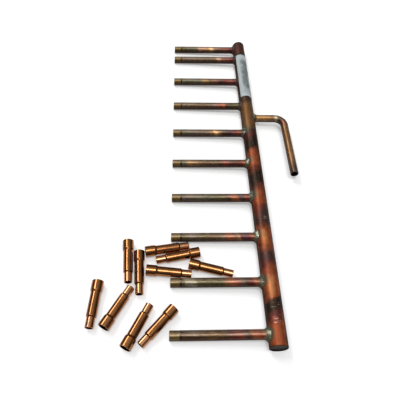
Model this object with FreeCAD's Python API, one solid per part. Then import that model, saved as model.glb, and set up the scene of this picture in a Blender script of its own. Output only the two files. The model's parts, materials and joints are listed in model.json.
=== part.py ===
# A copper coil header and its loose couplings, lying on a table as they are unpacked.
# One straight header tube carries ten branch tubes on one side and a bent outlet tube on the other,
# all brazed into drilled holes. Ten belled couplings, one for each branch, lie beside the branches.
# Sizes are in millimetres. Z is up, the header lies along Y and the branches point towards -X.
# The origin is on the table, in the middle of the outline of the whole set.
import FreeCAD, Part
import math
import os

# Header tube, between the stock sizes of 5/8 and 3/4 inch
header_od = 17.46
header_wall = 1.0
far_overhang = 9.525
near_overhang = 12.7
header_edge_round = 0.35

# Disc caps that close the header, set in from the tube's ends
cap_thickness = 1.2
cap_recess = 0.9
cap_gap = 0.08
cap_braze_leg = 0.7

# Branch tubes, 3/8 inch
branch_count = 10
first_pitch = 25.4
branch_pitch = 50.8
branch_od = 9.525
branch_wall = 0.8
branch_reach = 96.84

# The sized band at each branch tip, on which a coupling's bell seats
tip_band_length = 9.5
tip_band_step = 0.08
tip_shoulder = 0.5
tip_round = 0.25

# Outlet tube, bent towards the near end
outlet_od = 9.525
outlet_wall = 0.8
outlet_from_first_branch = 150.4
outlet_offset = 46.5
outlet_bend_radius = 12.7
outlet_run = 94.0

# How the side tubes meet the header
entry_depth = 1.2
hole_gap = 0.05
braze_height = 2.6
braze_foot = 2.4
braze_side_foot = 2.0
braze_lip = 0.12
braze_steps = 6
braze_overlap = 0.6

# Blank paper label, glued round the side away from the branches
label_length = 92.0
label_width = 26.4
label_thickness = 0.15
label_from_first_branch = 23.5
label_turn = 36.0

# Couplings, 3/8 inch bell to 5/16 inch neck
coupling_length = 44.45
coupling_body_od = 9.525
coupling_wall = 0.8
coupling_neck_od = 7.94
coupling_neck_length = 9.5
coupling_neck_step = 1.0
coupling_bell_shoulder = 1.8
coupling_joint_gap = 0.08
shoulder_round = 0.9
lip_round = 0.25

# Where each coupling lies: its middle, in coupling lengths from the tip of the last branch but one,
# and the way that its neck points, in degrees from +X.
coupling_places = [
    (-1.5717, -0.4859, -94.0),
    (-0.9421, 0.5106, -85.9),
    (-0.6806, 0.2394, -86.4),
    (-0.0831, 0.8364, 10.8),
    (0.1639, 0.6490, -168.2),
    (0.9041, 0.3422, -13.1),
    (-0.0344, 0.2523, -4.4),
    (-1.0772, -0.5449, 61.2),
    (-0.6367, -0.9435, 63.7),
    (-0.2339, -0.9497, -131.2),
]
# The least room between two pieces, seen from above, and the step by which one is moved to find it
resting_gap = 0.35
shift_step = 1.0

# Sizes that follow from those above
header_r = header_od / 2
header_bore_r = header_r - header_wall
branch_r = branch_od / 2
tip_r = branch_r - tip_band_step
outlet_r = outlet_od / 2
bell_bore_r = tip_r + coupling_joint_gap
bell_r = bell_bore_r + coupling_wall
body_r = coupling_body_od / 2
neck_r = coupling_neck_od / 2
bell_length = tip_band_length
body_start = bell_length + coupling_bell_shoulder
neck_start = coupling_length - coupling_neck_length
body_end = neck_start - coupling_neck_step
branch_places = [0.0] + [-(first_pitch + n * branch_pitch) for n in range(branch_count - 1)]
outlet_place = -outlet_from_first_branch

# The header lies on the table and rolls until the branch tips touch it too
tip_distance = math.hypot(branch_reach, tip_r)
header_roll = math.degrees(math.asin(header_r / tip_distance) - math.atan2(tip_r, branch_reach))

Vector = FreeCAD.Vector
Rotation = FreeCAD.Rotation
Placement = FreeCAD.Placement
X_AXIS = Vector(1, 0, 0)
Y_AXIS = Vector(0, 1, 0)
Z_AXIS = Vector(0, 0, 1)
ORIGIN = Vector(0, 0, 0)
CORNER_SHARE = 0.45
BEARING_STEP = 30


def placed(shape, move=ORIGIN, turn=Rotation()):
    """Return a copy of the shape, turned about the origin and then moved."""
    return shape.transformed(Placement(move, turn).toMatrix())


def rounded_wire(corners):
    """Close an outline in the XZ plane through (radius, height, rounding) corners."""
    points = [Vector(radius, 0, height) for radius, height, rounding in corners]
    edges = []
    starts = []
    ends = []
    for index, (radius, height, rounding) in enumerate(corners):
        corner = points[index]
        before = points[index - 1] - corner
        after = points[(index + 1) % len(points)] - corner
        half_angle = before.getAngle(after) / 2
        room = CORNER_SHARE * min(before.Length, after.Length)
        cut = min(rounding / math.tan(half_angle), room)
        to_before = Vector(before).normalize()
        to_after = Vector(after).normalize()
        start = corner + to_before * cut
        end = corner + to_after * cut
        starts.append(start)
        ends.append(end)
        if cut > 0:
            bisector = (to_before + to_after).normalize()
            arc_radius = cut * math.tan(half_angle)
            middle = corner + bisector * (arc_radius / math.sin(half_angle) - arc_radius)
            edges.append(Part.Arc(start, middle, end).toShape())
    lines = [
        Part.makeLine(ends[index - 1], starts[index])
        for index in range(len(corners))
    ]
    return Part.Wire(Part.__sortEdges__(edges + lines))


def turned(corners, angle=360):
    """Revolve an outline of (radius, height, rounding) corners about Z."""
    face = Part.Face(rounded_wire(corners))
    return face.revolve(ORIGIN, Z_AXIS, angle)


def along_header(shape, place):
    """Lay a piece built along Z along the header, from a place on Y towards the far end."""
    return placed(shape, Vector(0, place, 0), Rotation(X_AXIS, -90))


def on_side(shape, side, place):
    """Point a piece built along Z away from the header, to side -1 or +1, at a place on Y."""
    return placed(shape, Vector(0, place, 0), Rotation(Y_AXIS, 90 * side))


def settled(shape):
    """Roll a piece of the header assembly about the header's axis and set it on the table."""
    return placed(shape, Vector(0, 0, header_r), Rotation(Y_AXIS, -header_roll))


def side_hole(tube_r):
    """A cutter for the hole that a side tube enters, built along Z."""
    return Part.makeCylinder(tube_r + hole_gap, header_od)


def entry_height(tube_r):
    """How far from the header's axis a side tube starts, just inside the bore all round."""
    return math.sqrt(header_bore_r ** 2 - tube_r ** 2) - entry_depth


def make_header_tube():
    length = far_overhang - branch_places[-1] + near_overhang
    tube = turned([
        (header_bore_r, 0, 0),
        (header_r, 0, header_edge_round),
        (header_r, length, header_edge_round),
        (header_bore_r, length, 0),
    ])
    tube = along_header(tube, branch_places[-1] - near_overhang)
    for place in branch_places:
        tube = tube.cut(on_side(side_hole(branch_r), -1, place))
    return tube.cut(on_side(side_hole(outlet_r), 1, outlet_place))


def make_cap():
    """A flat disc that closes the header, built upwards from its outer face at height 0."""
    return Part.makeCylinder(header_bore_r - cap_gap, cap_thickness)


def make_cap_braze():
    """The braze round a cap, filling its gap and rising as a fillet on the tube's bore."""
    rim = header_bore_r - cap_gap
    corners = [
        (rim, cap_thickness, 0),
        (header_bore_r, cap_thickness, 0),
        (header_bore_r, -cap_braze_leg, 0),
        (rim - cap_braze_leg, 0, 0),
        (rim, 0, 0),
    ]
    return turned(corners)


def at_header_end(shape, end):
    """Set a piece built at a cap's outer face into the near end, -1, or the far end, +1."""
    if end < 0:
        return along_header(shape, branch_places[-1] - near_overhang + cap_recess)
    flipped = placed(shape, turn=Rotation(X_AXIS, 180))
    return along_header(flipped, far_overhang - cap_recess)


def make_branch():
    """A branch tube with its sized tip band, built along Z from the header's axis."""
    band_start = branch_reach - tip_band_length
    return turned([
        (branch_r, entry_height(branch_r), 0),
        (branch_r, band_start - tip_shoulder, 0),
        (tip_r, band_start, 0),
        (tip_r, branch_reach, tip_round),
        (branch_r - branch_wall, branch_reach, tip_round),
        (branch_r - branch_wall, entry_height(branch_r), 0),
    ])


def make_outlet():
    """The outlet tube in the header's own frame, as its elbow and the straight run that follows.

    It leaves the header along +X, turns through the elbow and runs on along -Y.
    """
    ring = Part.Face([
        Part.Wire(Part.makeCircle(outlet_r)),
        Part.Wire(Part.makeCircle(outlet_r - outlet_wall)),
    ])
    start = entry_height(outlet_r)
    bend_x = outlet_offset - outlet_bend_radius
    bend_y = outlet_place - outlet_bend_radius
    first_ring = placed(ring, Vector(start, outlet_place, 0), Rotation(Y_AXIS, 90))
    bend_ring = placed(ring, Vector(bend_x, outlet_place, 0), Rotation(Y_AXIS, 90))
    last_ring = placed(ring, Vector(outlet_offset, bend_y, 0), Rotation(X_AXIS, 90))
    leg = first_ring.extrude(Vector(bend_x - start, 0, 0))
    bend = bend_ring.revolve(Vector(bend_x, bend_y, 0), Z_AXIS, -90)
    run = last_ring.extrude(Vector(0, outlet_bend_radius - outlet_run, 0))
    end_rims = [
        edge for edge in run.Edges
        if edge.BoundBox.YMax < outlet_place - outlet_run + tip_round
    ]
    run = run.makeFillet(min(tip_round, CORNER_SHARE * outlet_wall), end_rims)
    return leg.fuse(bend).removeSplitter(), run


def make_side_braze(tube_r):
    """The braze collar where a side tube meets the header, built along Z.

    Its foot spreads far along the header's crown and less down the header's flanks.
    """
    top = header_r + braze_height
    flank_r = tube_r + braze_side_foot
    flank_foot = math.sqrt(max(header_r ** 2 - flank_r ** 2, 0))
    base = max(flank_foot - braze_overlap, 0)
    rings = []
    for step in range(braze_steps + 1):
        height = base + (top - base) * step / braze_steps
        along = max((top - height) / braze_height, 0)
        down = min((top - height) / (top - flank_foot), 1)
        long_r = tube_r + braze_lip + braze_foot * min(along, 1) ** 2 + max(along - 1, 0) * 2 * braze_foot
        short_r = tube_r + braze_lip + braze_side_foot * down ** 2
        ellipse = Part.Ellipse(
            Vector(0, max(long_r, short_r), height),
            Vector(short_r, 0, height),
            Vector(0, 0, height),
        )
        rings.append(Part.Wire(ellipse.toShape()))
    collar = Part.makeLoft(rings, True, True)
    collar = collar.cut(Part.makeCylinder(tube_r, top + braze_height))
    header_core = Part.makeCylinder(
        header_r, 4 * header_od, Vector(0, -2 * header_od, 0), Y_AXIS,
    )
    return collar.cut(header_core)


def make_label():
    """The label's strip, wrapped round the header's side away from the branches."""
    wrap = math.degrees(label_width / header_r)
    strip = turned([
        (header_r, 0, 0),
        (header_r + label_thickness, 0, 0),
        (header_r + label_thickness, label_length, 0),
        (header_r, label_length, 0),
    ], wrap)
    strip = placed(strip, turn=Rotation(Z_AXIS, -label_turn - wrap / 2))
    return along_header(strip, -label_from_first_branch - label_length)


def coupling_outside():
    """A coupling's outside as (radius, height, rounding) corners, up from its bell's mouth."""
    return [
        (bell_r, 0, lip_round),
        (bell_r, bell_length, shoulder_round),
        (body_r, body_start, shoulder_round),
        (body_r, body_end, shoulder_round),
        (neck_r, neck_start, shoulder_round / 2),
        (neck_r, coupling_length, lip_round),
    ]


def make_coupling():
    """A coupling with its neck towards +X, leaned so that it rests on the table."""
    coupling = turned(coupling_outside() + [
        (neck_r - coupling_wall, coupling_length, lip_round),
        (neck_r - coupling_wall, neck_start, 0),
        (body_r - coupling_wall, body_end, 0),
        (body_r - coupling_wall, body_start, 0),
        (bell_bore_r, bell_length, 0),
        (bell_bore_r, 0, lip_round),
    ])
    flat = placed(coupling, turn=Rotation(Y_AXIS, 90))
    lean = math.degrees(math.atan2(bell_r - body_r, body_end - bell_length))
    leaned = placed(flat, Vector(-coupling_length / 2, 0, 0), Rotation(Y_AXIS, lean))
    return placed(leaned, Vector(0, 0, -leaned.optimalBoundingBox(False).ZMin))


def make_footprint():
    """A coupling's outline seen from above, with its neck towards +X."""
    right = [
        Vector(height - coupling_length / 2, -radius, 0)
        for radius, height, rounding in coupling_outside()
    ]
    left = [Vector(point.x, -point.y, 0) for point in reversed(right)]
    return Part.Face(Part.makePolygon(right + left + right[:1]))


def covered_box(shape):
    """The rectangle of the table that a piece of the header covers."""
    box = shape.BoundBox
    return Part.makePlane(box.XLength, box.YLength, Vector(box.XMin, box.YMin, 0))


def is_clear(footprint, others):
    """Whether a footprint keeps the resting gap from all the others."""
    reach = footprint.BoundBox
    reach.enlarge(resting_gap)
    near = [other for other in others if reach.intersect(other.BoundBox)]
    return all(footprint.distToShape(other)[0] >= resting_gap for other in near)


def move_to_clear(footprint, taken):
    """The shortest move that clears a footprint of those taken, tried in rings round its place."""
    distance = 0
    while True:
        for bearing in range(0, 360, BEARING_STEP):
            move = Rotation(Z_AXIS, bearing).multVec(Vector(-distance, 0, 0))
            if is_clear(placed(footprint, move), taken):
                return move
        distance += shift_step


def laid_out(coupling, taken):
    """Lay the couplings at their places, each moved just far enough for its footprint to be clear."""
    taken = list(taken)
    laid = []
    branch_tip = Vector(-branch_reach, branch_places[-2], 0)
    for along_x, along_y, heading in coupling_places:
        place = branch_tip + Vector(along_x, along_y, 0) * coupling_length
        turn = Rotation(Z_AXIS, heading)
        place += move_to_clear(placed(make_footprint(), place, turn), taken)
        taken.append(placed(make_footprint(), place, turn))
        laid.append(placed(coupling, place, turn))
    return laid


branch = make_branch()
branch_braze = make_side_braze(branch_r)
outlet_elbow, outlet_run_tube = make_outlet()
nodes = {
    "header_tube": settled(make_header_tube()),
    "far_end_cap": settled(at_header_end(make_cap(), 1)),
    "near_end_cap": settled(at_header_end(make_cap(), -1)),
    "far_cap_braze": settled(at_header_end(make_cap_braze(), 1)),
    "near_cap_braze": settled(at_header_end(make_cap_braze(), -1)),
    "outlet_elbow": settled(outlet_elbow),
    "outlet_tube": settled(outlet_run_tube),
    "outlet_braze": settled(on_side(make_side_braze(outlet_r), 1, outlet_place)),
    "label": settled(make_label()),
}
for number, place in enumerate(branch_places, start=1):
    nodes[f"branch_tube_{number:02d}"] = settled(on_side(branch, -1, place))
    nodes[f"branch_braze_{number:02d}"] = settled(on_side(branch_braze, -1, place))

header_boxes = [covered_box(shape) for shape in nodes.values()]
couplings = laid_out(make_coupling(), header_boxes)
for number, piece in enumerate(couplings, start=1):
    nodes[f"coupling_{number:02d}"] = piece

outline = FreeCAD.BoundBox()
for shape in nodes.values():
    outline.add(shape.optimalBoundingBox(False))
to_origin = Vector(-outline.Center.x, -outline.Center.y, -outline.ZMin)

os.makedirs("parts", exist_ok=True)
for name, shape in nodes.items():
    placed(shape, to_origin).exportStep(f"parts/{name}.step")
print("nodes", len(nodes), "shift", to_origin, "roll", header_roll)
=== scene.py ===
# Finish and light for a brazed copper coil header and its ten loose couplings.
import json
import math

import bpy
from mathutils import Euler, Matrix, Vector


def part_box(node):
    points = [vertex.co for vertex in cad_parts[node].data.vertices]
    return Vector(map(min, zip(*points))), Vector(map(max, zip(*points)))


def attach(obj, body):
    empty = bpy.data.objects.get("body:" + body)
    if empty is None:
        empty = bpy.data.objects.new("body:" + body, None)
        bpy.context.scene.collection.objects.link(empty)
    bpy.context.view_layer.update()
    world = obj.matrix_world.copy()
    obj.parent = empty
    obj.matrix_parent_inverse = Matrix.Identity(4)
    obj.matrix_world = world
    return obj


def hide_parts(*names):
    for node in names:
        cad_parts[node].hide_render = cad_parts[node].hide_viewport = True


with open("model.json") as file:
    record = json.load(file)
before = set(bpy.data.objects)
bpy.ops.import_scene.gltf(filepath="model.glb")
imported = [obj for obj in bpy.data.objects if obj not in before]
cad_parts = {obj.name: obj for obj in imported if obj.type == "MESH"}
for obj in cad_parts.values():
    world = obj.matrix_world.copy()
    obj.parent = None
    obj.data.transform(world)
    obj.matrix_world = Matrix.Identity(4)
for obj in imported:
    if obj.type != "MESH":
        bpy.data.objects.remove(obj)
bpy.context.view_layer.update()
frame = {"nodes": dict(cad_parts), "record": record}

bpy.ops.object.select_all(action="DESELECT")

# Header tube: one length of drawn copper tube, drilled for the side tubes and closed by a disc cap
# at each end. The torch has left clean orange copper round each joint, with red, maroon and purple
# rims, and olive-black tarnish between them. Both flanks and the underside are painted near black
# as shade.
mm = 0.001
header_low, header_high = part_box("header_tube")
header_radius = (header_high.x - header_low.x) / 2
header_x = (header_low.x + header_high.x) / 2
header_axis_z = header_low.z + header_radius
header_length = header_high.y - header_low.y
mounts = {mount["name"]: mount for mount in frame["record"]["mounts"]}
branch_numbers = range(1, 11)
branch_tips = [mounts[f"branch_tip_{number:02d}"] for number in branch_numbers]
branch_places = [tip["pos_m"][1] for tip in branch_tips]
first_gap = branch_places[0] - branch_places[1]
branch_gap = branch_places[-2] - branch_places[-1]
# Places on the header are measured from the first branch tube, towards the near end
header_start = Vector((header_x, branch_places[0], header_axis_z))
to_near_end = Vector((0, -1, 0))
far_overhang = header_high.y - branch_places[0]
near_end = header_length - far_overhang


def painted(red, green, blue):
    """A colour as seen, 0 to 255, as the linear value that a socket takes, by the sRGB curve."""
    channels = [channel / 255 for channel in (red, green, blue)]
    return [
        channel / 12.92 if channel <= 0.04045 else ((channel + 0.055) / 1.055) ** 2.4
        for channel in channels
    ] + [1.0]


def put(tree, value, socket):
    """Give an input a link, if the value is a socket, or else a plain value."""
    if isinstance(value, bpy.types.NodeSocket):
        tree.links.new(value, socket)
    else:
        socket.default_value = value


def add_node(tree, kind, inputs={}, **settings):
    """Add a node with its properties, and its inputs by name or by number."""
    node = tree.nodes.new(kind)
    for name, value in settings.items():
        setattr(node, name, value)
    for name, value in inputs.items():
        put(tree, value, node.inputs[name])
    return node


def math_node(tree, operation, *values, clamp=False):
    """The result of a Math node."""
    inputs = dict(enumerate(values))
    node = add_node(tree, "ShaderNodeMath", inputs, operation=operation, use_clamp=clamp)
    return node.outputs["Value"]


def ramped(tree, value, start, end, low=0.0, high=1.0):
    """A value that goes smoothly from low to high as another goes from start to end."""
    node = add_node(tree, "ShaderNodeMapRange", interpolation_type="SMOOTHSTEP", inputs={
        "Value": value, "From Min": start, "From Max": end, "To Min": low, "To Max": high,
    })
    return node.outputs["Result"]


def mixed(tree, factor, first, second, blend="MIX"):
    """Two colours mixed. The node takes them at its sockets 6 and 7 and gives the result at 2."""
    node = add_node(tree, "ShaderNodeMix", data_type="RGBA", blend_type=blend)
    put(tree, factor, node.inputs["Factor"])
    put(tree, first, node.inputs[6])
    put(tree, second, node.inputs[7])
    return node.outputs[2]


def noise(tree, vector, scale, detail=2.0, roughness=0.5, stretch=(1, 1, 1)):
    """A noise texture's value, with its scale for each way given by a stretch."""
    stretched = add_node(tree, "ShaderNodeMapping", inputs={"Vector": vector, "Scale": stretch})
    texture = add_node(tree, "ShaderNodeTexNoise", inputs={
        "Vector": stretched.outputs["Vector"], "Scale": scale, "Detail": detail,
        "Roughness": roughness,
    })
    return texture.outputs["Fac"]


def split(tree, vector):
    """The X, Y and Z of a place."""
    return add_node(tree, "ShaderNodeSeparateXYZ", inputs={"Vector": vector}).outputs


def hypotenuse(tree, first, second):
    """How far away a place is that lies this far off in each of two square directions."""
    squares = [math_node(tree, "POWER", side, 2.0) for side in (first, second)]
    return math_node(tree, "SQRT", math_node(tree, "ADD", *squares))


def bumped(tree, height, strength, distance):
    """The normal of a surface with small bumps on it."""
    node = add_node(tree, "ShaderNodeBump", inputs={
        "Strength": strength, "Distance": distance, "Height": height,
    })
    return node.outputs["Normal"]


def new_group(name, inputs, outputs):
    """An empty node group with its sockets."""
    group = bpy.data.node_groups.new(name, "ShaderNodeTree")
    for direction, sockets in (("INPUT", inputs), ("OUTPUT", outputs)):
        for socket_name, kind in sockets.items():
            group.interface.new_socket(
                socket_name, in_out=direction, socket_type="NodeSocket" + kind)
    given = add_node(group, "NodeGroupInput").outputs
    result = add_node(group, "NodeGroupOutput").inputs
    return group, given, result


# Tarnish on tube: mottled oxide, lighter on top along fine drawn lines, which is partly rubbed wear
# and partly a painted highlight, and painted shade in near black on the flanks and underside, with
# near black in the bore. All the header's tubes have it, each with its own copper and values.
tarnish, given, result = new_group(
    "Tube tarnish",
    {
        "Along": "Vector", "Copper": "Color", "Radius": "Float", "Flank start": "Float",
        "Flank end": "Float", "Rub and highlight": "Float", "Dullness": "Float", "Shade": "Float",
        "Metal": "Float", "Lean": "Float",
    },
    {"Colour": "Color", "Roughness": "Float", "Metallic": "Float", "Normal": "Vector"},
)
# Near black for the painted shade on the flanks and underside, and how much of it covers them
flank_shade_black = painted(50, 30, 20)
flank_shade_cover = 0.9
darkened_roughness = 0.16
darkened_metal_loss = 0.8
bore_black = painted(22, 15, 12)
rub_and_highlight_tone = painted(196, 176, 156)
streak_stretch = (30, 420, 420)
line_stretch = (70, 2600, 2600)
mottle = noise(tarnish, given["Along"], scale=230.0, detail=5.0, roughness=0.62)
streaks = noise(
    tarnish, given["Along"], scale=1.0, detail=3.0, roughness=0.6, stretch=streak_stretch)
lines = noise(
    tarnish, given["Along"], scale=1.0, detail=2.0, roughness=0.6, stretch=line_stretch)

# Where on the tube: how high, as a share of its radius, and how far from its axis
across = split(tarnish, given["Along"])
leaning = math_node(tarnish, "MULTIPLY_ADD", across["Y"], given["Lean"], across["Z"])
height = math_node(tarnish, "DIVIDE", leaning, given["Radius"])
from_axis = hypotenuse(tarnish, across["Y"], across["Z"])
wall_share = math_node(tarnish, "DIVIDE", from_axis, given["Radius"])
in_bore = ramped(tarnish, wall_share, start=0.90, end=0.86)
# Painted shade: below its top the tube darkens by how high the place is, with ragged edges
flank_unevenness = 0.9
blotches = math_node(tarnish, "SUBTRACT", math_node(tarnish, "ADD", mottle, streaks), 1.0)
uneven_height = math_node(tarnish, "MULTIPLY_ADD", blotches, flank_unevenness, height)
flank = ramped(tarnish, uneven_height, start=given["Flank start"], end=given["Flank end"])
# Lighter on top along the drawn lines: partly rubbed wear, partly a painted highlight on the crown
on_top = ramped(tarnish, height, start=0.70, end=0.98)
streak_share = 0.6
streaked_lines = math_node(tarnish, "MULTIPLY_ADD", streaks, streak_share, lines)
line_mask = ramped(tarnish, streaked_lines, start=0.62, end=1.0)
top_lines = math_node(tarnish, "MULTIPLY", on_top, line_mask)
rub_and_highlight = math_node(tarnish, "MULTIPLY", top_lines, given["Rub and highlight"])

# The copper's own value, mottled and streaked, then the rub and painted highlight on top, the
# painted shade on the flanks and the dark bore
darkest = 0.22
streak_contrast = 0.45
mottle_contrast = 1.1
streaked_value = math_node(tarnish, "MULTIPLY_ADD", streaks, streak_contrast, darkest)
mottled_value = math_node(tarnish, "MULTIPLY_ADD", mottle, mottle_contrast, streaked_value)
toned = add_node(tarnish, "ShaderNodeHueSaturation", inputs={
    "Value": math_node(tarnish, "MULTIPLY", mottled_value, given["Shade"]),
    "Color": given["Copper"],
}).outputs["Color"]
toned = mixed(tarnish, rub_and_highlight, toned, rub_and_highlight_tone)
toned = mixed(tarnish, math_node(tarnish, "MULTIPLY", flank, flank_shade_cover), toned, flank_shade_black)
toned = mixed(tarnish, in_bore, toned, bore_black)
tarnish.links.new(toned, result["Colour"])
dull = math_node(tarnish, "MAXIMUM", flank, in_bore)
mottle_roughness = 0.30
roughness = math_node(tarnish, "MULTIPLY_ADD", mottle, mottle_roughness, given["Dullness"])
roughness = math_node(tarnish, "MULTIPLY_ADD", dull, darkened_roughness, roughness)
tarnish.links.new(roughness, result["Roughness"])
metal_left = math_node(tarnish, "MULTIPLY_ADD", dull, -darkened_metal_loss, 1.0)
metallic = math_node(tarnish, "MULTIPLY", metal_left, given["Metal"])
tarnish.links.new(metallic, result["Metallic"])
line_relief = 0.35
relief = math_node(tarnish, "MULTIPLY_ADD", lines, line_relief, mottle)
tarnish.links.new(bumped(tarnish, relief, strength=0.5, distance=0.10 * mm), result["Normal"])


def tarnish_tube(tree, shader, along, copper, radius, flank, rub_and_highlight, dullness, shade, metal, lean):
    """Place the tarnish between a material's copper and its shader, and return its colour."""
    node = add_node(tree, "ShaderNodeGroup", node_tree=tarnish, inputs={
        "Along": along, "Copper": copper, "Radius": radius, "Flank start": flank[0],
        "Flank end": flank[1], "Rub and highlight": rub_and_highlight, "Dullness": dullness, "Shade": shade,
        "Metal": metal, "Lean": lean,
    })
    for output, socket in (("Colour", "Base Color"), ("Roughness", "Roughness"),
                           ("Metallic", "Metallic"), ("Normal", "Normal")):
        tree.links.new(node.outputs[output], shader.inputs[socket])
    return node.outputs["Colour"]


def new_material(name):
    """A material with a Principled shader, its node tree and the shader."""
    material = bpy.data.materials.new(name)
    material.use_nodes = True
    tree = material.node_tree
    return material, tree, tree.nodes["Principled BSDF"]


def along_tube(tree, start, direction):
    """Coordinates on a tube: X runs along it from its start, Y lies across it and Z is up."""
    coordinates = add_node(tree, "ShaderNodeTexCoord")
    turn = direction.to_track_quat("X", "Z").to_euler()
    mapping = add_node(tree, "ShaderNodeMapping", vector_type="TEXTURE", inputs={
        "Vector": coordinates.outputs["Object"], "Location": start, "Rotation": turn,
    })
    return mapping.outputs["Vector"]


def slanting(tree, place):
    """The place along a tube, on a slant: further along on the one side than on the other."""
    slant = 0.35
    return math_node(tree, "MULTIPLY_ADD", place["Y"], slant, place["X"])


def wandering(tree, value, ragged, reach):
    """A place or distance moved to and fro by a noise, so that what is laid by it has ragged edges."""
    noise_middle = 0.5
    swing = math_node(tree, "SUBTRACT", ragged, noise_middle)
    return math_node(tree, "MULTIPLY_ADD", swing, reach, value)


def colour_ramp(tree, value, stops):
    """A colour ramp with a stop for each place and colour."""
    node = add_node(tree, "ShaderNodeValToRGB", inputs={"Fac": value})
    elements = node.color_ramp.elements
    while len(elements) < len(stops):
        elements.new(0.5)
    for element, (place, colour) in zip(elements, stops):
        element.position = place
        element.color = colour
    return node.outputs["Color"]


def dress(node_name, material):
    """Give a part of the frame its material."""
    mesh = frame["nodes"][node_name].data
    mesh.materials.clear()
    mesh.materials.append(material)


orange = painted(188, 94, 52)
bright_orange = painted(204, 110, 62)
golden = painted(150, 106, 62)
red_brown = painted(140, 66, 46)
maroon = painted(112, 54, 50)
purple_grey = painted(86, 62, 60)
olive_black = painted(52, 38, 28)
dark_brown = painted(80, 54, 40)
# What the torch has left along the crown, in millimetres from the first branch tube
header_heat = [
    (-10, dark_brown), (10, maroon), (20, dark_brown), (122, dark_brown), (132, golden),
    (168, golden), (180, purple_grey), (188, maroon), (198, olive_black), (211, olive_black),
    (219, orange), (233, orange), (241, red_brown), (248, olive_black), (262, olive_black),
    (269, red_brown), (277, orange), (291, orange), (299, red_brown), (307, purple_grey),
    (315, dark_brown), (322, orange), (339, orange), (354, purple_grey), (366, maroon),
    (374, orange), (385, bright_orange), (396, orange), (402, olive_black), (411, olive_black),
    (417, maroon), (427, orange),
]
header_material, tree, shader = new_material("Heat-tinted header copper")
oxide_shine = 0.15
shader.inputs["Specular IOR Level"].default_value = oxide_shine
along = along_tube(tree, header_start, to_near_end)
place = split(tree, along)
ragged = noise(tree, along, scale=62.0, detail=5.0, roughness=0.62)
slanted = slanting(tree, place)
heat_place = wandering(tree, slanted, ragged, reach=34 * mm)
heat_share = math_node(
    tree, "DIVIDE", math_node(tree, "ADD", heat_place, far_overhang), header_length)
copper = colour_ramp(tree, heat_share, [
    ((millimetres * mm + far_overhang) / header_length, colour)
    for millimetres, colour in header_heat
])
patch_strength = 0.45
patches = ramped(
    tree, noise(tree, along, scale=150.0, detail=3.0, roughness=0.55), start=0.56, end=0.70)
copper = mixed(tree, math_node(tree, "MULTIPLY", patches, patch_strength), copper, maroon)

# Two pale spots on the crown, just off its middle, partly hot cores and partly a painted highlight,
# paler than the orange round them, at places in millimetres like those above
core_places = (332, 387)
core_half_length = 15 * mm
core_half_width = 5 * mm
core_side = 1.0 * mm
core_and_highlight_copper = painted(224, 150, 90)
for core in core_places:
    from_core = math_node(tree, "SUBTRACT", heat_place, core * mm)
    lengthways = math_node(tree, "DIVIDE", from_core, core_half_length)
    sideways = math_node(
        tree, "DIVIDE", math_node(tree, "ADD", place["Y"], core_side), core_half_width)
    core_and_highlight_mask = ramped(
        tree, hypotenuse(tree, lengthways, sideways), start=1.0, end=0.2, high=0.75)
    copper = mixed(tree, core_and_highlight_mask, copper, core_and_highlight_copper)
tarnished = tarnish_tube(
    tree, shader, along, copper, header_radius, flank=(0.84, 0.36), rub_and_highlight=0.06, dullness=0.34,
    shade=0.62, metal=0.70, lean=-0.2,
)

# Grey-green flux residue spread on the tube's side round each joint, but for the far ones
residue = painted(84, 88, 70)
residue_cover = 0.75
from_second = math_node(tree, "SUBTRACT", place["X"], first_gap)
to_later_joint = math_node(tree, "PINGPONG", from_second, branch_gap / 2)
to_first_joint = math_node(tree, "ABSOLUTE", place["X"])
to_joint = math_node(tree, "MINIMUM", to_later_joint, to_first_joint)
joint_side = math_node(tree, "ADD", place["Y"], header_radius)
joint_distance = hypotenuse(tree, to_joint, joint_side)
spread = wandering(tree, joint_distance, ragged, reach=12 * mm)
near_joint = ramped(tree, spread, start=8.5 * mm, end=3.0 * mm)
past_far_joints = ramped(tree, place["X"], start=140 * mm, end=170 * mm)
residue_mask = math_node(tree, "MULTIPLY", near_joint, past_far_joints)
finished = mixed(
    tree, math_node(tree, "MULTIPLY", residue_mask, residue_cover), tarnished, residue)

# Near black on the very rim of the near end: soot and painted shade
end_soot_and_shade = painted(34, 30, 24)
sooted_and_shaded_rim = ramped(
    tree, place["X"], start=near_end - 1.5 * mm, end=near_end - 0.3 * mm, high=0.85)
finished = mixed(tree, sooted_and_shaded_rim, finished, end_soot_and_shade)

# Bright scrapes across the crown: where each is, how far it spreads along the tube, its colour
scrapes = [
    (312, 4, painted(206, 170, 150)),
    (407, 5, painted(156, 138, 92)),
    (421, 5, painted(226, 176, 162)),
]
scratch_stretch = (900, 130, 130)
scratch_noise = noise(
    tree, along, scale=1.0, detail=2.0, roughness=0.7, stretch=scratch_stretch)
scratch_lines = ramped(tree, scratch_noise, start=0.56, end=0.64)
for middle, reach, colour in scrapes:
    off = math_node(tree, "ABSOLUTE", math_node(tree, "SUBTRACT", slanted, middle * mm))
    near = ramped(tree, off, start=reach * mm, end=0.0)
    off_crown = math_node(tree, "ABSOLUTE", place["Y"])
    on_crown = ramped(tree, off_crown, start=5.0 * mm, end=2.0 * mm)
    scraped = math_node(
        tree, "MULTIPLY", math_node(tree, "MULTIPLY", near, on_crown), scratch_lines)
    finished = mixed(tree, scraped, finished, colour)
tree.links.new(finished, shader.inputs["Base Color"])
dress("header_tube", header_material)

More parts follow.
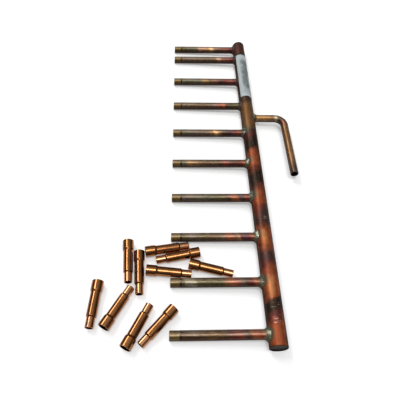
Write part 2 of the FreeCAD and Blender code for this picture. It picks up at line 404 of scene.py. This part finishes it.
# End caps: copper discs set into the header's ends and brazed round their edge. They are dull and
# near black, partly from the torch and partly as painted shade on the end faces.
cap_material, tree, shader = new_material("Sooted cap copper")
cap_black = painted(12, 11, 9)
cap_brown = painted(34, 27, 21)
cap_roughness = 0.45
soot_roughness = 0.3
along = along_tube(tree, header_start, to_near_end)
soot = noise(tree, along, scale=260.0, detail=4.0, roughness=0.6)
cap_copper = mixed(tree, ramped(tree, soot, start=0.40, end=0.66), cap_black, cap_brown)
tree.links.new(cap_copper, shader.inputs["Base Color"])
tree.links.new(
    math_node(tree, "MULTIPLY_ADD", soot, soot_roughness, cap_roughness),
    shader.inputs["Roughness"])
shader.inputs["Metallic"].default_value = 0.3
shader.inputs["Specular IOR Level"].default_value = 0.2
for name in ("far_end_cap", "near_end_cap"):
    dress(name, cap_material)

# Branch tubes: ten smaller copper tubes pushed through the header's wall and brazed. Each tip is a
# band sized to take a coupling, with a ring of painted shade in the step at its shoulder. The shank
# is grey-olive with tarnish and turns red, maroon and orange towards the flame at its root.
branch_low, branch_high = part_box("branch_tube_10")
branch_radius = (branch_high.y - branch_low.y) / 2
tip_band = branch_tips[0]["dims"]["length_mm"] * mm
branch_reach = (Vector(branch_tips[0]["pos_m"]) - header_start).length + tip_band / 2
shank_length = branch_reach - header_radius
tip_gold = painted(120, 98, 58)
shoulder_shade = painted(40, 34, 26)
shoulder_strength = 0.9
grey_olive = painted(104, 98, 78)
olive = painted(92, 84, 54)
grey_brown = painted(112, 94, 76)
tan = painted(164, 126, 82)
pink_tan = painted(186, 140, 110)
peach_glint = painted(232, 184, 130)
flame_red = painted(140, 62, 44)
ember = painted(162, 92, 58)
deep_maroon = painted(110, 46, 44)
purple = painted(96, 62, 72)
dusky = painted(128, 78, 66)
root_dark = painted(62, 46, 38)
root_grey = painted(108, 92, 80)
warm_brown = painted(106, 82, 58)
silver_grey = painted(150, 140, 118)
shaded_brown = painted(84, 62, 42)
shaded_gold = painted(108, 78, 46)
# What each shank shows beyond its band, in hundredths of the way from its tip to its root. The
# peach stops on branches 1 and 5, and the pale stops near 78 on branches 8 and 9, are painted
# highlights.
branch_heat = [
    [(16, olive), (34, grey_olive), (42, pink_tan), (50, pink_tan), (56, tan), (62, peach_glint),
     (66, grey_brown), (80, dusky), (88, dusky), (94, deep_maroon), (100, root_dark)],
    [(16, grey_brown), (45, grey_brown), (66, warm_brown), (72, pink_tan), (80, dusky),
     (88, dusky), (95, deep_maroon), (100, root_dark)],
    [(16, grey_olive), (40, grey_olive), (48, tan), (56, olive), (64, dusky), (70, root_dark),
     (80, deep_maroon), (90, dusky), (95, deep_maroon), (100, root_grey)],
    [(16, grey_brown), (40, warm_brown), (60, grey_brown), (68, red_brown), (74, ember),
     (79, dark_brown), (92, olive), (100, olive)],
    [(16, grey_olive), (32, root_grey), (46, grey_brown), (56, tan), (60, peach_glint), (64, golden),
     (68, dark_brown), (76, olive_black), (84, purple), (93, red_brown), (100, root_grey)],
    [(16, grey_olive), (21, tan), (38, warm_brown), (58, warm_brown), (63, dark_brown),
     (68, flame_red), (74, deep_maroon), (80, dark_brown), (92, deep_maroon), (97, ember),
     (100, root_grey)],
    [(16, root_grey), (35, grey_olive), (62, olive), (70, dark_brown), (76, ember), (81, ember),
     (86, purple_grey), (89, purple_grey), (94, flame_red), (100, root_grey)],
    [(16, olive), (19, root_grey), (27, root_grey), (34, olive), (48, warm_brown),
     (60, grey_brown), (66, ember), (71, ember), (75, dusky), (79, tan), (82, deep_maroon),
     (87, purple), (92, deep_maroon), (96, ember), (100, root_grey)],
    [(15, olive), (17, silver_grey), (25, silver_grey), (29, olive), (58, olive), (64, ember),
     (69, ember), (74, red_brown), (78, root_grey), (83, dark_brown), (89, deep_maroon),
     (94, ember), (100, root_grey)],
    [(16, shaded_brown), (30, shaded_brown), (44, shaded_gold), (58, shaded_brown),
     (66, deep_maroon), (72, red_brown), (77, purple_grey), (81, dark_brown), (86, ember),
     (94, red_brown), (97, tan), (100, root_grey)],
]


def branch_material(number):
    """The finish of one branch tube, by its own heat marks."""
    material, tree, shader = new_material(f"Branch copper {number}")
    shader.inputs["Specular IOR Level"].default_value = oxide_shine
    tip = branch_tips[number - 1]
    outward = Vector(tip["axis"])
    start = Vector(tip["pos_m"]) + outward * tip_band / 2
    along = along_tube(tree, start, -outward)
    place = split(tree, along)
    ragged = noise(tree, along, scale=160.0, detail=4.0, roughness=0.6)
    heat_place = wandering(tree, slanting(tree, place), ragged, reach=12 * mm)
    copper = colour_ramp(tree, math_node(tree, "DIVIDE", heat_place, shank_length), [
        (share / 100, colour) for share, colour in branch_heat[number - 1]
    ])
    band = ramped(tree, place["X"], start=tip_band + 0.6 * mm, end=tip_band + 0.2 * mm)
    # Painted shade: a dark ring in the step at the band's shoulder
    ring_place = tip_band + 0.7 * mm
    from_ring = math_node(tree, "SUBTRACT", place["X"], ring_place)
    ring = ramped(
        tree, math_node(tree, "ABSOLUTE", from_ring), start=1.4 * mm, end=0.6 * mm)
    ring = math_node(tree, "MULTIPLY", ring, shoulder_strength)
    copper = mixed(tree, band, copper, tip_gold)
    copper = mixed(tree, ring, copper, shoulder_shade)
    tarnish_tube(
        tree, shader, along, copper, branch_radius, flank=(0.68, -0.05), rub_and_highlight=0.4,
        dullness=0.22, shade=0.80, metal=0.70, lean=0.15,
    )
    return material


for number in branch_numbers:
    dress(f"branch_tube_{number:02d}", branch_material(number))

# Outlet tube: a copper tube bent through a right angle, brazed into the header and open at its end.
# It is golden by the joint, silvery into the bend and brown along its run.
outlet_end = mounts["outlet_end"]
outlet_radius = outlet_end["dims"]["r_mm"] * mm
outlet_run_x = outlet_end["pos_m"][0]
outlet_z = outlet_end["pos_m"][2]
outlet_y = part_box("outlet_elbow")[1].y - outlet_radius
outlet_leg = outlet_run_x - header_x
outlet_travel = 141 * mm
silvery = painted(206, 188, 156)
copper_gold = painted(186, 136, 80)
run_brown = painted(142, 98, 52)
# Millimetres from the header's axis along the leg, round the bend and down the run
outlet_heat = [
    (9, root_dark), (12, copper_gold), (24, copper_gold), (31, golden), (36, silvery),
    (42, olive), (50, dark_brown), (58, red_brown), (66, run_brown), (118, run_brown),
    (134, dark_brown), (141, root_dark),
]
outlet_material, tree, shader = new_material("Outlet copper")
leg_start = Vector((header_x, outlet_y, header_axis_z))
leg_way = Vector((outlet_leg, 0, outlet_z - header_axis_z))
run_start = Vector((outlet_run_x, outlet_y + outlet_leg, outlet_z))
on_leg = along_tube(tree, leg_start, leg_way)
on_run = along_tube(tree, run_start, to_near_end)
round_bend = ramped(
    tree, split(tree, on_leg)["X"], start=outlet_leg - 11 * mm, end=outlet_leg - 2 * mm)
# A Mix node takes two vectors at its sockets 4 and 5 and gives the result at 1
leg_and_run = add_node(tree, "ShaderNodeMix", data_type="VECTOR")
put(tree, round_bend, leg_and_run.inputs["Factor"])
put(tree, on_leg, leg_and_run.inputs[4])
put(tree, on_run, leg_and_run.inputs[5])
along = leg_and_run.outputs[1]
ragged = noise(tree, along, scale=140.0, detail=4.0, roughness=0.6)
heat_place = wandering(tree, split(tree, along)["X"], ragged, reach=10 * mm)
copper = colour_ramp(tree, math_node(tree, "DIVIDE", heat_place, outlet_travel), [
    (millimetres * mm / outlet_travel, colour) for millimetres, colour in outlet_heat
])
tarnish_tube(
    tree, shader, along, copper, outlet_radius, flank=(0.60, 0.10), rub_and_highlight=0.25, dullness=0.28,
    shade=0.82, metal=0.8, lean=0.0,
)
for name in ("outlet_elbow", "outlet_tube"):
    dress(name, outlet_material)

# Braze collars: silver-bearing filler run round each side tube and each cap with a torch. It has
# frozen in a lumpy fillet, grey-green under flux residue and bright where it is bare, on top of the
# near joints, which is partly a painted glint.
braze_material, tree, shader = new_material("Braze")
crust_dark = painted(50, 52, 42)
crust_pale = painted(92, 94, 76)
burnt_dark = painted(52, 36, 34)
burnt_pale = painted(82, 64, 56)
bare_silver_glint = painted(176, 174, 156)
crust_metal = 0.2
bare_metal_gain = 0.7
crust_roughness = 0.68
bare_roughness_loss = 0.40
coordinates = add_node(tree, "ShaderNodeTexCoord").outputs["Object"]
crust = noise(tree, coordinates, scale=250.0, detail=3.0, roughness=0.55)
speckle = noise(tree, coordinates, scale=1300.0, detail=2.0, roughness=0.6)
where = split(tree, coordinates)
toward_near_end = math_node(tree, "SUBTRACT", branch_places[0], where["Y"])
clean_joint = ramped(tree, toward_near_end, start=120 * mm, end=170 * mm)
# Bright bare filler only on top of the near joints: bare metal with a painted glint on it
on_crown = ramped(
    tree, where["Z"], start=header_axis_z + 3.0 * mm, end=header_axis_z + 6.0 * mm)
bare_and_glint = math_node(
    tree, "MULTIPLY", ramped(tree, crust, start=0.46, end=0.58),
    math_node(tree, "MULTIPLY", clean_joint, on_crown))
far_crust = mixed(tree, speckle, burnt_dark, burnt_pale)
near_crust = mixed(tree, speckle, crust_dark, crust_pale)
crusted = mixed(tree, clean_joint, far_crust, near_crust)
crusted = mixed(tree, bare_and_glint, crusted, bare_silver_glint)
# The near cap's fillet is near black too: soot and painted shade at the end
at_near_cap = ramped(
    tree, toward_near_end, start=near_end - 4 * mm, end=near_end - 2 * mm)
crusted = mixed(tree, at_near_cap, crusted, end_soot_and_shade)
tree.links.new(crusted, shader.inputs["Base Color"])
tree.links.new(
    math_node(tree, "MULTIPLY_ADD", bare_and_glint, bare_metal_gain, crust_metal),
    shader.inputs["Metallic"])
tree.links.new(
    math_node(tree, "MULTIPLY_ADD", bare_and_glint, -bare_roughness_loss, crust_roughness),
    shader.inputs["Roughness"])
shader.inputs["Specular IOR Level"].default_value = 0.25
tree.links.new(
    bumped(tree, speckle, strength=0.6, distance=0.15 * mm), shader.inputs["Normal"])
lumps = bpy.data.textures.new("Braze lumps", "CLOUDS")
lumps.noise_scale = 2.2 * mm
lump_height = 0.7 * mm
braze_grain = 0.35 * mm


def apply_modifier(piece, kind, **settings):
    """Add a modifier with its settings and apply it."""
    bpy.ops.object.select_all(action="DESELECT")
    bpy.context.view_layer.objects.active = piece
    piece.select_set(True)
    modifier = piece.modifiers.new(kind.title(), kind)
    for name, value in settings.items():
        setattr(modifier, name, value)
    bpy.ops.object.modifier_apply(modifier=modifier.name)


def lay_braze(node_name, piece_name):
    """A lumpy fillet of braze in place of the frame's plain one."""
    piece = bpy.data.objects.new(piece_name, frame["nodes"][node_name].data.copy())
    bpy.context.collection.objects.link(piece)
    apply_modifier(piece, "WELD", merge_threshold=0.001 * mm)
    apply_modifier(piece, "REMESH", mode="VOXEL", voxel_size=braze_grain, use_smooth_shade=True)
    apply_modifier(piece, "SMOOTH", factor=0.5, iterations=3)
    apply_modifier(
        piece, "DISPLACE", texture=lumps, texture_coords="LOCAL", strength=lump_height,
        mid_level=0.45,
    )
    apply_modifier(piece, "SMOOTH", factor=0.5, iterations=2)
    piece.data.materials.clear()
    piece.data.materials.append(braze_material)
    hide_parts(node_name)
    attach(piece, "header")


for number in branch_numbers:
    lay_braze(f"branch_braze_{number:02d}", f"branch_fillet_{number:02d}")
lay_braze("outlet_braze", "outlet_fillet")
lay_braze("far_cap_braze", "far_cap_fillet")
lay_braze("near_cap_braze", "near_cap_fillet")

# Label: a strip of paper glued round the header near its far end, on the side away from the
# branches. It is blank, grey with handling, and darker towards its right side, where glue and dirt
# have come through and painted shade lies.
label_low, label_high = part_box("label")
label_gap = 0.06 * mm
label_thickness = 0.15 * mm
label_facets = 144
ring_depth = 1.0 * mm
ring_count = round((label_high.y - label_low.y) / ring_depth)
# The strip's two edges, in degrees round the header from its crown, away from the branches
label_first_edge = -50.5
label_last_edge = 122.5
bpy.ops.mesh.primitive_cylinder_add(
    vertices=label_facets, radius=header_radius + label_gap, depth=ring_depth,
    end_fill_type="NOTHING", location=(header_x, label_low.y + ring_depth / 2, header_axis_z),
    rotation=(math.radians(-90), 0, 0),
)
label = bpy.context.object
label.name = "paper_label"
bpy.ops.object.transform_apply()
bpy.ops.object.mode_set(mode="EDIT")
bpy.ops.mesh.select_mode(type="FACE")
bpy.ops.object.mode_set(mode="OBJECT")
for face in label.data.polygons:
    from_crown = math.degrees(math.atan2(
        face.center.x - header_x, face.center.z - header_axis_z))
    face.select = not label_first_edge < from_crown < label_last_edge
bpy.ops.object.mode_set(mode="EDIT")
bpy.ops.mesh.delete(type="FACE")
bpy.ops.object.mode_set(mode="OBJECT")
apply_modifier(
    label, "ARRAY", count=ring_count, use_relative_offset=False, use_constant_offset=True,
    constant_offset_displace=(0, ring_depth, 0), use_merge_vertices=True,
    merge_threshold=0.05 * mm,
)
wrinkles = bpy.data.textures.new("Label wrinkles", "CLOUDS")
wrinkles.noise_scale = 7 * mm
apply_modifier(
    label, "DISPLACE", texture=wrinkles, texture_coords="LOCAL", strength=0.35 * mm,
    mid_level=0.25,
)
apply_modifier(label, "SOLIDIFY", thickness=label_thickness, offset=1.0)
bpy.ops.object.shade_smooth_by_angle(angle=math.radians(40))
label_material, tree, shader = new_material("Blank label paper")
paper_grey = painted(150, 160, 164)
paper_pale = painted(204, 211, 213)
dirt_and_shade_grey = painted(84, 96, 92)
black = (0, 0, 0, 1)
white = (1, 1, 1, 1)
dirt_and_shade_cover = 0.85
fibre_strength = 0.25
paper_roughness = 0.42
smudge_roughness = 0.3
smudge_stretch = (55, 120, 120)
along = along_tube(tree, header_start, to_near_end)
place = split(tree, along)
smudges = noise(tree, along, scale=1.0, detail=5.0, roughness=0.65, stretch=smudge_stretch)
fibres = noise(tree, along, scale=900.0, detail=3.0, roughness=0.6)
# Darker towards the right side: glue and dirt, and painted shade on the side turned from the light
right_half = ramped(tree, place["Y"], start=-5.0 * mm, end=-0.5 * mm)
past_far_edge = ramped(tree, place["X"], start=28 * mm, end=42 * mm)
before_near_edge = ramped(tree, place["X"], start=116 * mm, end=96 * mm)
lengthwise = math_node(tree, "MULTIPLY", past_far_edge, before_near_edge)
dirt_and_shade = math_node(
    tree, "MULTIPLY", math_node(tree, "MULTIPLY", right_half, lengthwise),
    ramped(tree, smudges, start=0.28, end=0.56))
paper = mixed(tree, smudges, paper_grey, paper_pale)
paper = mixed(tree, math_node(tree, "MULTIPLY", dirt_and_shade, dirt_and_shade_cover), paper, dirt_and_shade_grey)
fibre_tone = mixed(tree, fibres, black, white)
paper = mixed(tree, fibre_strength, paper, fibre_tone, blend="SOFT_LIGHT")
tree.links.new(paper, shader.inputs["Base Color"])
tree.links.new(
    math_node(tree, "MULTIPLY_ADD", smudges, smudge_roughness, paper_roughness),
    shader.inputs["Roughness"])
tree.links.new(
    bumped(tree, fibres, strength=0.3, distance=0.05 * mm), shader.inputs["Normal"])
label.data.materials.append(label_material)
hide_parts("label")
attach(label, "header")

# Couplings: short lengths of drawn copper tube, belled at one end to slip over a branch tip and
# swaged down at the other for a smaller tube. They are unused, so the copper is bright, with fine
# drawn lines along it, and a dark ring at each shoulder: a tool mark with painted shade in the step.
coupling_numbers = range(1, 11)
bell_shoulder = 11.0 * mm
neck_shoulder = 34.6 * mm
coupling_wall = 0.8 * mm
mouth_margin = 0.2 * mm
drawn_dark = painted(116, 72, 40)
drawn_bright = painted(176, 120, 76)
clouded = painted(100, 62, 34)
neck_pink = painted(232, 172, 134)
neck_strength = 0.3
tool_mark_shade = painted(70, 36, 20)
bore_shade = painted(44, 22, 14)
bright_roughness = 0.10
drawn_roughness = 0.14
drawn_stretch = (6, 1100, 1100)
# Where each dark shoulder ring is, how wide it is to each side and how dark: a tool mark with
# painted shade in the step
shoulder_rings = ((bell_shoulder, 0.6 * mm, 0.35), (neck_shoulder, 0.6 * mm, 0.6))


def coupling_material(number):
    """The finish of one coupling, laid along its own axis."""
    material, tree, shader = new_material(f"Bright copper {number}")
    bell = mounts[f"coupling_{number:02d}_bell"]
    direction = -Vector(bell["axis"])
    mouth = Vector(bell["pos_m"]) - direction * (bell["dims"]["length_mm"] / 2) * mm
    along = along_tube(tree, mouth, direction)
    place = split(tree, along)
    drawn = noise(tree, along, scale=1.0, detail=2.0, roughness=0.6, stretch=drawn_stretch)
    cloudy = noise(tree, along, scale=70.0, detail=2.0, roughness=0.5)
    copper = mixed(tree, drawn, drawn_dark, drawn_bright)
    copper = mixed(tree, ramped(tree, cloudy, start=0.45, end=0.75, high=0.35), copper, clouded)
    neck = ramped(tree, place["X"], start=neck_shoulder, end=neck_shoulder + 0.8 * mm)
    copper = mixed(tree, math_node(tree, "MULTIPLY", neck, neck_strength), copper, neck_pink)
    for shoulder, width, depth in shoulder_rings:
        off = math_node(tree, "ABSOLUTE", math_node(tree, "SUBTRACT", place["X"], shoulder))
        mark = ramped(tree, off, start=width, end=0.0, high=depth)
        copper = mixed(tree, mark, copper, tool_mark_shade)
    # Painted shade in the bore: dark brown wherever a place lies inside the bore's radius
    past_bell = ramped(tree, place["X"], start=bell_shoulder - 1.0 * mm, end=bell_shoulder)
    steps = math_node(tree, "ADD", past_bell, neck)
    bell_bore = bell["dims"]["r_mm"] * mm + mouth_margin
    bore = math_node(tree, "MULTIPLY_ADD", steps, -coupling_wall, bell_bore)
    from_axis = hypotenuse(tree, place["Y"], place["Z"])
    inside = ramped(
        tree, math_node(tree, "SUBTRACT", from_axis, bore), start=0.0, end=-mouth_margin)
    copper = mixed(tree, inside, copper, bore_shade)
    tree.links.new(copper, shader.inputs["Base Color"])
    shader.inputs["Metallic"].default_value = 1.0
    tree.links.new(
        math_node(tree, "MULTIPLY_ADD", drawn, drawn_roughness, bright_roughness),
        shader.inputs["Roughness"])
    tree.links.new(
        bumped(tree, drawn, strength=0.15, distance=0.02 * mm), shader.inputs["Normal"])
    return material


for number in coupling_numbers:
    dress(f"coupling_{number:02d}", coupling_material(number))

# Table: a plain white floor that the header and the couplings lie on. It keeps their shadows, and
# glows a little for the camera and in reflections, so that it looks white.
floor_size = 40.0
floor_grey = 0.82
floor_glow = 0.3
bpy.ops.mesh.primitive_plane_add(size=floor_size, location=(0, 0, 0))
floor = bpy.context.object
floor.name = "white_floor"
floor_material, tree, shader = new_material("White floor")
shader.inputs["Base Color"].default_value = (floor_grey, floor_grey, floor_grey, 1)
shader.inputs["Roughness"].default_value = 0.9
shader.inputs["Specular IOR Level"].default_value = 0.0
shader.inputs["Emission Color"].default_value = white
seen = add_node(tree, "ShaderNodeLightPath").outputs
seen_or_mirrored = math_node(tree, "ADD", seen["Is Camera Ray"], seen["Is Glossy Ray"])
seen_in_any_way = math_node(
    tree, "ADD", seen_or_mirrored, seen["Is Transmission Ray"], clamp=True)
tree.links.new(
    math_node(tree, "MULTIPLY", seen_in_any_way, floor_glow), shader.inputs["Emission Strength"])
floor.data.materials.append(floor_material)

# Light: a room that is pale overhead and dark along its walls, a soft lamp overhead, another
# behind the header, to its left, and a weak one between them.
world = bpy.data.worlds.new("Room")
bpy.context.scene.world = world
world.use_nodes = True
room = world.node_tree
upward = split(room, add_node(room, "ShaderNodeTexCoord").outputs["Generated"])["Z"]
# The room's grey from the level of the floor, 0, to straight overhead, 1
room_greys = ((0.0, 0.08), (0.45, 0.12), (0.80, 0.50), (1.0, 0.90))
room_light = colour_ramp(room, upward, [
    (height, (grey, grey, grey, 1)) for height, grey in room_greys
])
room.links.new(room_light, room.nodes["Background"].inputs["Color"])
room.nodes["Background"].inputs["Strength"].default_value = 1.0
# Each lamp: the way to it, its strength and how wide it looks, in degrees
for name, way_to_lamp, strength, width in (
    ("overhead_lamp", (0.0, -0.18, 0.98), 0.95, 20),
    ("back_lamp", (-0.42, 0.62, 0.68), 0.75, 20),
    ("side_lamp", (-0.42, 0.36, 0.83), 0.45, 12),
):
    bpy.ops.object.light_add(type="SUN")
    lamp = bpy.context.object
    lamp.name = name
    lamp.data.energy = strength
    lamp.data.angle = math.radians(width)
    lamp.rotation_euler = Vector(way_to_lamp).to_track_quat("Z", "Y").to_euler()

# Camera: it stands at the photograph's place, before the near end of the header and to its left,
# and looks down along the row of branch tubes.
camera_from_first_branch = Vector((-0.09871, -0.54683, 0.35941))
camera_turn = math.radians(-7.12)
camera_tilt = math.radians(90 - 53.63)
camera_roll = math.radians(7.05)
bpy.ops.object.camera_add()
camera = bpy.context.object
camera.data.sensor_width = 36.0
camera.data.lens = 36.45
aim = Euler((camera_tilt, 0, camera_turn)).to_matrix()
aim = aim @ Matrix.Rotation(camera_roll, 3, "Z")
camera_place = Matrix.Translation(header_start + camera_from_first_branch)
camera.matrix_world = camera_place @ aim.to_4x4()
bpy.context.scene.camera = camera
bpy.context.scene.view_settings.view_transform = "Standard"
